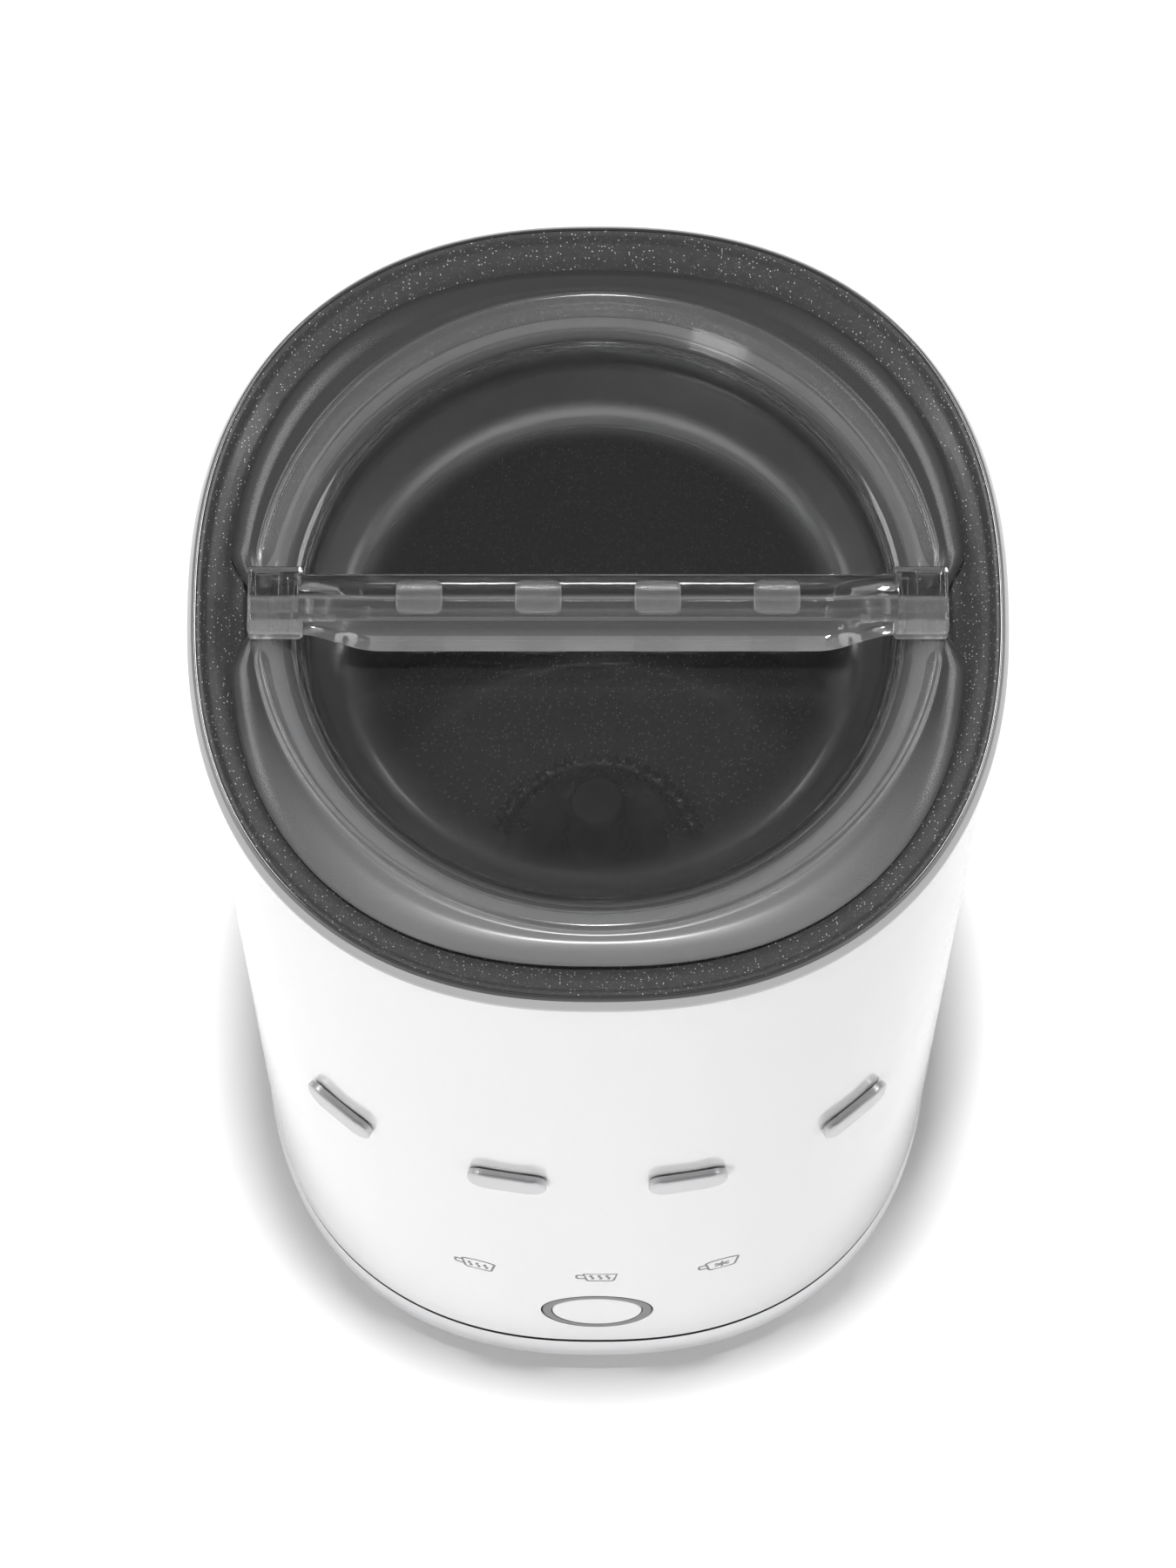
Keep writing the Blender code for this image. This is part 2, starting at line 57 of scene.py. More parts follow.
# Sizes that the frame gives.
RIM_Z = corner_mm("cup").z
HALF_WIDTH = corner_mm("cup").x
DEPTH_RATIO = corner_mm("cup").y / HALF_WIDTH
CUP_BOTTOM_Z = corner_mm("cup", False).z
SHELL_TOP_Z = corner_mm("outer_shell").z
SHELL_FOOT_Z = corner_mm("outer_shell", False).z
BODY_TOP_R = corner_mm("outer_shell").x
BASE_TOP_Z = corner_mm("base_shell").z
HANDLE_TOP_Z = corner_mm("lid_handle").z
BUTTON_Z = (corner_mm("push_button").z + corner_mm("push_button", False).z) / 2
ICON_Z = (corner_mm("light_guide_1").z + corner_mm("light_guide_1", False).z) / 2
BAR_Z = (corner_mm("trim_bar_2").z + corner_mm("trim_bar_2", False).z) / 2

# Sizes of the visible surfaces.
PLAN_EXPONENT = 2.33
BODY_FOOT_R = 49.0
SEAM_SHOW = 0.55           # the gap between the body and the foot
SEAM_PAINTED_SHADE = (0.26, 0.36)   # how far down from the foot's top its painted shade in the gap fades out
SHELL_WALL = 2.2
STEEL = 0.9
CUP_FLOOR_Z = CUP_BOTTOM_Z + STEEL
BUTTON_R = 6.6
BUTTON_RING_R = 7.9
ICON_X = (-17.4, 0.0, 17.4)
TRIM_X = (-34.9, -12.3, 12.3, 34.9)
LID_EXPONENT = 2.45
LID_DEPTH = 1.018
LOBE_START_R = 44.0
LID_EDGE_R = 48.3
LUG_X = (38.3, 45.6)
LUG_HALF_DEPTH = 4.7
LUG_PINCH_R = 45.4
BAR_HALF = 38.9
BAR_HALF_WIDTH = 3.25
BAR_DEPTHS = (9.5, 5.5)    # in the middle and at the ends
BAR_BOW = 0.7
BAR_TROUGH = 0.35
MARK_X = (-23.2, -7.75, 7.75, 23.2)
COIL_R = 14.3
COIL_Z = 4.4
COIL_TUBE_R = 1.4
WIRE_R = 0.3

# Where the lid's plastic changes, as radii from and to.
FLOOR_FILLET = (29, 33)
BEAD = (38.4, 38.8)
RING = (39.6, 40.4)
LOBE = (44.5, 45.3)
LOBE_ROUGH = (44.6, 45.4)

# Light. The world's two tones are given at the sine of their height over the horizon.
WORLD_STRENGTH = 0.74
FRONT_SHARE = 0.45         # how much of it is left straight in front and straight behind
PANEL_TOP = (0.5, (1, 1, 1, 1))
OVERHEAD = (0.8, (0.2, 0.2, 0.2, 1))
OVERHEAD_POWER = 265
KEY_POWER = 17
BACK_POWER = 3
BACK_LEAN = 0.4            # how much stronger the right back lamp is than the left one
STRIP_SHINE = 6.72         # power of a shining strip

# Camera.
CAMERA_LENS = 179.3
CAMERA_PLACE = (-1.3, -388.3, 1112.8)
CAMERA_TILT = 21.18

# Sides of a turned piece.
ROUND = 224
FINE = 96
SMALL = 48

TO_FRONT = Matrix.Rotation(radians(90), 3, "X")
TO_SIDE = Matrix.Rotation(radians(90), 3, "Y")


# --- Shapes ---------------------------------------------------------------------------------------

def lerp(a, b, t):
    return a + (b - a) * t


def smoothstep(low, high, value):
    t = min(max((value - low) / (high - low), 0), 1)
    return t * t * (3 - 2 * t)


def plan_point(angle, radius, square, exponent=PLAN_EXPONENT, depth=DEPTH_RATIO):
    """A point of the plan outline: a circle where square is 0, the superellipse where it is 1."""
    power = 2 / lerp(2, exponent, square)
    c, s = cos(angle), sin(angle)
    x = radius * copysign(abs(c) ** power, c)
    y = radius * lerp(1, depth, square) * copysign(abs(s) ** power, s)
    return x, y


def rounded(points, closed, turn_step=12):
    """Rounds a profile's corners. Each point is (radius, z, square, fillet); gives (radius, z, square)."""
    count = len(points)
    result = []
    for i, (r, z, square, fillet) in enumerate(points):
        if fillet == 0 or (not closed and i in (0, count - 1)):
            result.append((r, z, square))
            continue
        before, after = points[i - 1], points[(i + 1) % count]
        to_before = Vector((before[0] - r, before[1] - z))
        to_after = Vector((after[0] - r, after[1] - z))
        opening = to_before.angle(to_after)
        reach = min(fillet / tan(opening / 2), 0.48 * to_before.length, 0.48 * to_after.length)
        radius = reach * tan(opening / 2)
        middle = Vector((r, z)) + (to_before.normalized() + to_after.normalized()).normalized() \
            * (radius / sin(opening / 2))
        start = Vector((r, z)) + to_before.normalized() * reach - middle
        end = Vector((r, z)) + to_after.normalized() * reach - middle
        first = atan2(start.y, start.x)
        sweep = (atan2(end.y, end.x) - first + pi) % (2 * pi) - pi
        steps = max(2, ceil(abs(sweep) / radians(turn_step)))
        square_start = lerp(square, before[2], reach / to_before.length)
        square_end = lerp(square, after[2], reach / to_after.length)
        for k in range(steps + 1):
            a = first + sweep * k / steps
            result.append((middle.x + radius * cos(a), middle.y + radius * sin(a),
                           lerp(square_start, square_end, k / steps)))
    return result


def divided(profile, longest):
    """Cuts a profile's long straight stretches into shorter ones."""
    result = [profile[0]]
    for before, after in zip(profile, profile[1:]):
        parts = max(1, ceil(hypot(after[0] - before[0], after[1] - before[1]) / longest))
        for k in range(1, parts + 1):
            result.append(tuple(lerp(p, q, k / parts) for p, q in zip(before, after)))
    return result


def skin(bm, rings, closed=False, shift=0):
    """Joins loops of vertices with quads. A closed row ends on its first loop, turned by shift."""
    count = len(rings[0])
    pairs = [(low, high, 0) for low, high in zip(rings, rings[1:])]
    if closed:
        pairs.append((rings[-1], rings[0], shift))
    else:
        bm.faces.new(rings[0])
        bm.faces.new(rings[-1])
    for low, high, turn in pairs:
        for k in range(count):
            n = (k + 1) % count
            bm.faces.new((low[k], low[n], high[(n + turn) % count], high[(k + turn) % count]))


def revolve(profile, sides=ROUND, place=None):
    """A turned solid from (radius, z, square). It starts and ends on the axis, or is a closed outline."""
    place = place or (lambda angle, r, z, square: (*plan_point(angle, r, square), z))
    bm = bmesh.new()
    on_axis = profile[0][0] == 0
    rings = []
    for point in profile[1:-1] if on_axis else profile:
        rings.append([bm.verts.new(place(2 * pi * k / sides, *point)) for k in range(sides)])
    skin(bm, rings, not on_axis)
    return bm


def rod(radius, low, high):
    """The profile of a plain round rod."""
    return [(0, low, 0), (radius, low, 0), (radius, high, 0), (0, high, 0)]


def box_shape(low, high, bevel=0.0, segments=3):
    bm = bmesh.new()
    bmesh.ops.create_cube(bm, size=1)
    for v in bm.verts:
        v.co = Vector([lerp(a, b, c + 0.5) for a, b, c in zip(low, high, v.co)])
    if bevel:
        bmesh.ops.bevel(bm, geom=bm.edges[:], offset=bevel, segments=segments, affect="EDGES", profile=0.5)
    return bm


def sweep(path, radius, sides=10, closed=False):
    """A round tube along a list of points."""
    bm = bmesh.new()
    points = [Vector(p) for p in path]
    count = len(points)
    normal = None
    rings = []
    for i, p in enumerate(points):
        before = points[i - 1] if closed or i else p
        after = points[(i + 1) % count] if closed or i < count - 1 else p
        along = (after - before).normalized()
        if normal is None:
            normal = along.orthogonal().normalized()
        normal = (normal - along * normal.dot(along)).normalized()
        side = along.cross(normal)
        turns = (2 * pi * k / sides for k in range(sides))
        rings.append([bm.verts.new(p + (normal * cos(a) + side * sin(a)) * radius) for a in turns])
    last = rings[-1][0].co
    shift = min(range(sides), key=lambda k: (last - rings[0][k].co).length)
    skin(bm, rings, closed, shift)
    return bm


def rounded_rectangle(half_u, half_v, corner, steps=6):
    points = []
    for quarter, (sx, sy) in enumerate(((1, 1), (-1, 1), (-1, -1), (1, -1))):
        for k in range(steps + 1):
            a = (quarter + k / steps) * pi / 2
            u = sx * (half_u - corner) + corner * cos(a)
            v = sy * (half_v - corner) + corner * sin(a)
            points.append((u, v))
    return points


def pad(half_u, half_v, corner, height, edge, place):
    """A raised plate with a rounded edge. place(u, v, w) puts it on the surface that carries it."""
    bm = bmesh.new()
    outline = rounded_rectangle(half_u, half_v, corner)
    rings = [(0.3, 0), (0.7, 0), (1, 0), (1, (height - edge) / 2), (1, height - edge)]
    for k in range(1, 4):
        a = k / 3 * pi / 2
        rings.append((1 - edge * (1 - cos(a)) / half_v, height - edge + edge * sin(a)))
    inner = rings[-1][0]
    rings += [(inner * share, height) for share in (0.8, 0.5, 0.25)]
    skin(bm, [[bm.verts.new(place(u * s, v * s, w)) for u, v in outline] for s, w in rings])
    return bm


def ribbon(path, width, thickness, place, closed=False):
    """A flat printed line along (u, v) points."""
    bm = bmesh.new()
    points = [Vector(p) for p in path]
    count = len(points)
    sections = []
    for i, p in enumerate(points):
        before = points[i - 1] if closed or i else p
        after = points[(i + 1) % count] if closed or i < count - 1 else p
        side = (after - before).normalized().orthogonal() * (width / 2)
        corners = ((p + side, 0), (p - side, 0), (p - side, thickness), (p + side, thickness))
        sections.append([bm.verts.new(place(q.x, q.y, w)) for q, w in corners])
    skin(bm, sections, closed)
    return bm


def merged(shapes):
    """Several closed shapes as one mesh."""
    bm = bmesh.new()
    for shape in shapes:
        mesh = bpy.data.meshes.new("part")
        shape.to_mesh(mesh)
        shape.free()
        bm.from_mesh(mesh)
        bpy.data.meshes.remove(mesh)
    return bm


def to_object(name, bm, sharp=32):
    bmesh.ops.recalc_face_normals(bm, faces=bm.faces)
    bmesh.ops.scale(bm, vec=(MM,) * 3, verts=bm.verts)
    mesh = bpy.data.meshes.new(name)
    bm.to_mesh(mesh)
    bm.free()
    mesh.shade_smooth()
    mesh.set_sharp_from_angle(angle=radians(sharp))
    made = bpy.data.objects.new(name, mesh)
    bpy.context.scene.collection.objects.link(made)
    return made


def carve(target, shapes, operation="DIFFERENCE", sharp=32):
    """Cuts the shapes out of the target, or joins them to it, for good."""
    tools = []
    for i, shape in enumerate(shapes):
        cutter = to_object(f"{target.name}_tool_{i}", shape)
        modifier = target.modifiers.new("cut", "BOOLEAN")
        modifier.operation = operation
        modifier.object = cutter
        tools.append(cutter)
    bpy.context.view_layer.update()
    evaluated = target.evaluated_get(bpy.context.evaluated_depsgraph_get())
    mesh = bpy.data.meshes.new_from_object(evaluated)
    target.modifiers.clear()
    target.data = mesh
    mesh.set_sharp_from_angle(angle=radians(sharp))
    for cutter in tools:
        bpy.data.objects.remove(cutter)
    return target


def show(made, material, body, slot, *stands_for):
    """Finishes a piece: its material, the body it moves with, and the CAD nodes it stands for. The slot
    argument is not used.
    """
    made.data.materials.clear()
    made.data.materials.append(material)
    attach(made, body)
    if stands_for:
        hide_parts(*stands_for)
    return made


# --- Materials ------------------------------------------------------------------------------------

class Surface:
    """A node material round one Principled shader."""

    def __init__(self, name, colour, roughness, metallic=0.0, **inputs):
        self.material = bpy.data.materials.new(name)
        self.material.use_nodes = True
        self.tree = self.material.node_tree
        self.shader = self.tree.nodes["Principled BSDF"]
        self.set("Base Color", (*colour, 1))
        self.set("Roughness", roughness)
        self.set("Metallic", metallic)
        for key, value in inputs.items():
            self.set(key.replace("_", " "), value)
        self.place = self.add("ShaderNodeTexCoord").outputs["Object"]

    def set(self, socket, value):
        self.shader.inputs[socket].default_value = value

    def add(self, kind, **settings):
        node = self.tree.nodes.new(kind)
        for key, value in settings.items():
            setattr(node, key, value)
        return node

    def link(self, source, target):
        self.tree.links.new(source, target)

    def noise(self, scale, detail=3, stretch=(1, 1, 1)):
        mapping = self.add("ShaderNodeMapping")
        mapping.inputs["Scale"].default_value = stretch
        self.link(self.place, mapping.inputs["Vector"])
        texture = self.add("ShaderNodeTexNoise")
        texture.inputs["Scale"].default_value = scale
        texture.inputs["Detail"].default_value = detail
        self.link(mapping.outputs["Vector"], texture.inputs["Vector"])
        return texture.outputs["Fac"]

    def spread(self, source, low, high):
        """source, from 0 to 1, as a number from low to high."""
        node = self.add("ShaderNodeMapRange")
        node.inputs["To Min"].default_value = low
        node.inputs["To Max"].default_value = high
        self.link(source, node.inputs["Value"])
        return node.outputs["Result"]

    def mix(self, factor, first, second):
        node = self.add("ShaderNodeMix", data_type="RGBA")
        self.link(factor, node.inputs["Factor"])
        for socket, value in ((node.inputs[6], first), (node.inputs[7], second)):
            if isinstance(value, tuple):
                socket.default_value = (*value, 1)
            else:
                self.link(value, socket)
        return node.outputs[2]

    def math(self, operation, first, second):
        node = self.add("ShaderNodeMath", operation=operation)
        for socket, value in zip(node.inputs, (first, second)):
            if isinstance(value, (int, float)):
                socket.default_value = value
            else:
                self.link(value, socket)
        return node.outputs["Value"]

    def rough(self, low, high, scale, stretch=(1, 1, 1)):
        self.link(self.spread(self.noise(scale, 4, stretch), low, high), self.shader.inputs["Roughness"])
        return self

    def tint(self, first, second, scale):
        self.link(self.mix(self.noise(scale, 4), first, second), self.shader.inputs["Base Color"])
        return self

    def bump(self, source, strength, distance):
        node = self.add("ShaderNodeBump")
        node.inputs["Strength"].default_value = strength
        node.inputs["Distance"].default_value = distance
        self.link(source, node.inputs["Height"])
        self.link(node.outputs["Normal"], self.shader.inputs["Normal"])
        return self

    def along(self, axis):
        """The place on the piece along one axis."""
        parts = self.add("ShaderNodeSeparateXYZ")
        self.link(self.place, parts.inputs["Vector"])
        return parts.outputs[axis]

    def radius(self):
        """The distance from the vertical axis."""
        flat = self.add("ShaderNodeVectorMath", operation="MULTIPLY")
        flat.inputs[1].default_value = (1, 1, 0)
        self.link(self.place, flat.inputs[0])
        length = self.add("ShaderNodeVectorMath", operation="LENGTH")
        self.link(flat.outputs["Vector"], length.inputs[0])
        return length.outputs["Value"]

    def step(self, source, start, end, before, after):
        """A number that goes from before to after while source goes from start to end millimetres."""
        node = self.add("ShaderNodeMapRange")
        node.inputs["From Min"].default_value = start * MM
        node.inputs["From Max"].default_value = end * MM
        node.inputs["To Min"].default_value = before
        node.inputs["To Max"].default_value = after
        self.link(source, node.inputs["Value"])
        return node.outputs["Result"]

    def specks(self, scale, size, share):
        """A mask of small round specks: share of the cells has one."""
        texture = self.add("ShaderNodeTexVoronoi")
        texture.inputs["Scale"].default_value = scale
        self.link(self.place, texture.inputs["Vector"])
        near = self.math("LESS_THAN", texture.outputs["Distance"], size)
        parts = self.add("ShaderNodeSeparateColor")
        self.link(texture.outputs["Color"], parts.inputs["Color"])
        return self.math("MULTIPLY", near, self.math("LESS_THAN", parts.outputs["Red"], share))


def gloss_white():
    s = Surface("gloss_white", (0.67, 0.67, 0.67), 0.14, Coat_Weight=0.2, Coat_Roughness=0.04)
    s.tint((0.665, 0.665, 0.665), (0.675, 0.675, 0.675), 30)
    s.rough(0.12, 0.17, 60)
    return s.bump(s.noise(700, 2), 0.02, 0.00001).material


def satin_silver():
    """Silver paint, with painted shade darkening its top edge in the gap under the body."""
    s = Surface("satin_silver", (0.62, 0.62, 0.63), 0.3, 0.85)
    silver = s.mix(s.noise(40, 4), (0.66, 0.66, 0.67), (0.7, 0.7, 0.71))
    top = BASE_TOP_Z - SEAM_SHOW
    # Painted shade: the foot's top edge turns near black, standing in for the shadow in the gap under the
    # body.
    gap_shade = s.step(s.along("Z"), top - SEAM_PAINTED_SHADE[1], top - SEAM_PAINTED_SHADE[0], 0, 1)
    s.link(s.mix(gap_shade, silver, (0.02, 0.02, 0.02)), s.shader.inputs["Base Color"])
    s.rough(0.28, 0.36, 90)
    return s.bump(s.noise(2600, 2), 0.05, 0.00001).material


def polished_steel():
    s = Surface("polished_steel", (0.36, 0.36, 0.36), 0.14, 1)
    s.tint((0.34, 0.34, 0.34), (0.4, 0.4, 0.4), 25)
    s.rough(0.1, 0.18, 220, (1, 1, 6))
    return s.bump(s.noise(500, 3, (1, 1, 8)), 0.02, 0.00001).material


def speckled_coating():
    """Dark non-stick coating with fine pale specks."""
    s = Surface("speckled_coating", (0.05, 0.05, 0.05), 0.32, Specular_IOR_Level=0.35,
                Coat_Weight=0.15, Coat_Roughness=0.08)
    ground = s.mix(s.noise(900, 5), (0.046, 0.046, 0.046), (0.075, 0.075, 0.075))
    fine = s.mix(s.specks(2700, 0.21, 0.65), ground, (0.15, 0.15, 0.15))
    bright = s.mix(s.specks(2200, 0.19, 0.5), fine, (0.56, 0.56, 0.56))
    s.link(bright, s.shader.inputs["Base Color"])
    s.rough(0.28, 0.4, 800)
    return s.bump(s.noise(1800, 4), 0.12, 0.00003).material


def clear_plastic(name, tone, clearness):
    """A clear plastic that the lid and the bar each finish in their own way."""
    s = Surface(name, (tone,) * 3, 0.02, Transmission_Weight=clearness, IOR=1.49)
    s.rough(0.01, 0.035, 60)
    s.tint((tone * 0.96,) * 3, (tone * 1.04,) * 3, 40)
    return s.bump(s.noise(45, 1), 0.004, 0.00002)


def lid_plastic():
    """Clear in the well, soft in its fillet, a little milky in the ring, and smoky in the lobes, which a
    painted highlight makes paler towards the front.
    """
    s = clear_plastic("clear_lid", 0.6, 1.0)
    r, depth = s.radius(), s.along("Y")
    clearness = s.math("MULTIPLY", s.step(r, *RING, 0.98, 0.87), s.step(r, *LOBE, 1, 0.72))
    s.link(clearness, s.shader.inputs["Transmission Weight"])
    # The lobes are smoky; their tone rises towards the front as a painted highlight.
    smoke_and_front_sheen = s.math("MULTIPLY", s.step(r, *LOBE, 0, 1), s.step(depth, -44, -14, 0.42, 0.1))
    tone = s.math("ADD", smoke_and_front_sheen, s.step(r, *LOBE, 0.6, 0))
    s.link(s.math("ADD", tone, s.spread(s.noise(80), 0, 0.01)), s.shader.inputs["Base Color"])
    fillet = s.math("MULTIPLY", s.step(r, *FLOOR_FILLET, 0, 1), s.step(r, *BEAD, 1, 0))
    well = s.math("MULTIPLY", fillet, s.step(depth, 3, 36, 0.2, 0.5))
    outside = s.math("ADD", s.step(r, *RING, 0, 0.09), s.step(r, *LOBE_ROUGH, 0, 0.13))
    soft = s.math("ADD", well, outside)
    s.link(s.math("ADD", s.spread(s.noise(60), 0.01, 0.035), soft), s.shader.inputs["Roughness"])
    return s.material


def bar_plastic():
    """Clear at the back, with a painted highlight as a milky line along the top, painted light making the
    front of the top milkier and paler, and a milky face with a painted highlight towards its lower edge.
    """
    s = clear_plastic("clear_bar", 0.36, 0.96)
    depth = s.along("Y")
    # Painted highlight: a milky line down the middle of the top.
    line = s.step(s.math("ABSOLUTE", depth, 0), 0.1, 0.5, 0.16, 0)
    # Painted light: the front half of the top lets less light through than the back half.
    top = s.math("SUBTRACT", s.step(depth, -0.15, 0.15, 0.91, 0.97), line)
    # Painted highlight: the face grows milkier towards its lower edge.
    face = s.step(s.along("Z"), HANDLE_TOP_Z - 8.5, HANDLE_TOP_Z - 2.5, 0.6, 0.86)
    front = s.step(depth, -3.25, -2.9, 1, 0)
    shares = s.math("MULTIPLY", face, front), s.math("MULTIPLY", top, s.math("SUBTRACT", 1, front))
    s.link(s.math("ADD", *shares), s.shader.inputs["Transmission Weight"])
    # Painted light: the front half of the top is paler than the back half.
    tone = s.mix(s.step(depth, -0.15, 0.35, 1, 0), (0.36, 0.36, 0.36), (0.6, 0.6, 0.6))
    s.link(s.mix(front, tone, (0.85, 0.85, 0.85)), s.shader.inputs["Base Color"])
    return s.material


def frosted_plastic():
    s = Surface("frosted_plastic", (0.8, 0.8, 0.8), 0.22, Transmission_Weight=0.92, IOR=1.45)
    s.rough(0.18, 0.28, 900)
    return s.bump(s.noise(3000, 2), 0.1, 0.00002).material


def soft_silicone():
    s = Surface("soft_silicone", (0.36, 0.36, 0.365), 0.55)
    s.tint((0.33, 0.33, 0.335), (0.38, 0.38, 0.385), 120)
    return s.bump(s.noise(1500, 3), 0.15, 0.00003).material


def chrome():
    s = Surface("chrome_trim", (0.52, 0.52, 0.53), 0.32, 0.65)
    s.rough(0.28, 0.36, 400)
    return s.bump(s.noise(1200, 2), 0.03, 0.00001).material


def print_grey():
    s = Surface("print_grey", (0.13, 0.13, 0.135), 0.4)
    s.tint((0.12, 0.12, 0.125), (0.15, 0.15, 0.155), 300)
    return s.bump(s.noise(4000, 2), 0.1, 0.00001).material


def moulded(name, colour, roughness=0.5, grain=2400):
    """Plain moulded plastic or rubber with a fine grain."""
    s = Surface(name, colour, roughness)
    darker = tuple(c * 0.85 for c in colour)
    lighter = tuple(min(c * 1.15, 1) for c in colour)
    s.tint(darker, lighter, 150)
    s.rough(roughness * 0.85, min(roughness * 1.15, 1), 500)
    return s.bump(s.noise(grain, 3), 0.25, 0.00004).material


def bare_metal(name, colour, roughness=0.3, stretch=(1, 1, 1)):
    s = Surface(name, colour, roughness, 1)
    s.tint(tuple(c * 0.9 for c in colour), colour, 200)
    s.rough(roughness * 0.75, roughness * 1.3, 900, stretch)
    return s.bump(s.noise(1500, 3, stretch), 0.06, 0.00002).material


def circuit_board():
    s = Surface("circuit_board", (0.02, 0.15, 0.06), 0.35, Coat_Weight=0.4)
    tracks = s.add("ShaderNodeTexBrick")
    tracks.inputs["Scale"].default_value = 260
    tracks.inputs["Mortar Size"].default_value = 0.06
    tracks.inputs["Color1"].default_value = (0.015, 0.13, 0.05, 1)
    tracks.inputs["Color2"].default_value = (0.02, 0.17, 0.065, 1)
    tracks.inputs["Mortar"].default_value = (0.05, 0.26, 0.1, 1)
    s.link(s.place, tracks.inputs["Vector"])
    s.link(tracks.outputs["Color"], s.shader.inputs["Base Color"])
    return s.bump(s.noise(1200, 2), 0.05, 0.00002).material


# --- The outer wall -------------------------------------------------------------------------------

def shell_radius(z):
    return lerp(BODY_FOOT_R, BODY_TOP_R, (z - SHELL_FOOT_Z) / (SHELL_TOP_Z - SHELL_FOOT_Z))


def wall_point(x, z):
    radius = shell_radius(z)
    share = min(abs(x) / radius, 0.999)
    y = -radius * DEPTH_RATIO * (1 - share ** PLAN_EXPONENT) ** (1 / PLAN_EXPONENT)
    return Vector((x, y, z))


def on_wall(x, z, lift=0.0):
    """A placing function for what sits on the front wall round (x, z)."""
    step = 0.05
    across = (wall_point(x + step, z) - wall_point(x - step, z)).normalized()

    def place(u, v, w):
        at_x, at_z = x + u * across.x, z + v
        along = wall_point(at_x + step, at_z) - wall_point(at_x - step, at_z)
        up = wall_point(at_x, at_z + step) - wall_point(at_x, at_z - step)
        outward = along.cross(up).normalized()
        return wall_point(at_x, at_z) + outward * (w + lift)

    return place


def outer_shell(white):
    """The tapering white wall, with a round hole for the button."""
    profile = [(BODY_FOOT_R - SHELL_WALL, SHELL_FOOT_Z, 1, 0.2), (BODY_FOOT_R, SHELL_FOOT_Z, 1, 0.35),
               (BODY_TOP_R, SHELL_TOP_Z, 1, 0.2), (BODY_TOP_R - SHELL_WALL, SHELL_TOP_Z, 1, 0.2)]
    shape = divided(rounded(profile, True), 6)
    shell = to_object("body_shell", revolve(shape))
    hole = revolve(rod(BUTTON_RING_R + 0.25, -6, 6), FINE)
    bmesh.ops.rotate(hole, cent=(0, 0, 0), matrix=TO_FRONT, verts=hole.verts)
    bmesh.ops.translate(hole, vec=wall_point(0, BUTTON_Z), verts=hole.verts)
    carve(shell, [hole])
    show(shell, white, "jug", "white_gloss", "outer_shell")


def cup(steel, coating):
    """The coated bowl, and the bare rolled lip round it. Together they stand for the cup."""
    floor = CUP_FLOOR_Z
    bowl = [(0, floor, 0, 0), (33.4, floor, 0, 5.5), (38.4, floor + 9, 0, 6), (43.2, 148, 0, 8)]
    flare = [(43.7, -13, 0, 3), (44.3, -9, 0.1, 4), (46.2, -5.0, 0.5, 3), (49.9, -2.2, 0.95, 2.2),
             (51.0, -1.55, 1, 1.2), (51.7, -0.2, 1, 0.5), (52.1, -0.02, 1, 0.2)]
    back = [(52.24, -0.15, 1, 0), (52.2, -1.1, 1, 0), (51.0, -2.6, 1, 0.5), (48.6, -4.2, 0.75, 1),
            (46.2, -7.2, 0.3, 1.5), (44.6, -12.5, 0, 2)]
    outside = [(44.1, 148, 0, 0), (39.4, floor + 9, 0, 4), (34.2, CUP_BOTTOM_Z, 0, 4),
               (0, CUP_BOTTOM_Z, 0, 0)]
    rim = [(r, RIM_Z + z, square, fillet) for r, z, square, fillet in flare + back]
    bowl_shape = divided(rounded(bowl + rim + outside, False, 8), 9)
    made = to_object("cup_bowl", revolve(bowl_shape), 50)
    show(made, coating, "jug", "coated_steel", "cup")

    lip = [(52.3, -0.08, 1, 0.1), (52.5, 0, 1, 0.2), (52.95, -0.35, 1, 0.5), (53.5, -1.9, 1, 0.6),
           (53.5, -2.7, 1, 0.3), (53.2, -3.0, 1, 0.15), (52.4, -3.0, 1, 0.1), (52.3, -1.5, 1, 0.2)]
    lip = [(r, RIM_Z + z, square, fillet) for r, z, square, fillet in lip]
    made = to_object("cup_lip", revolve(rounded(lip, True, 10)), 50)
    show(made, steel, "jug", "stainless_steel", "cup")


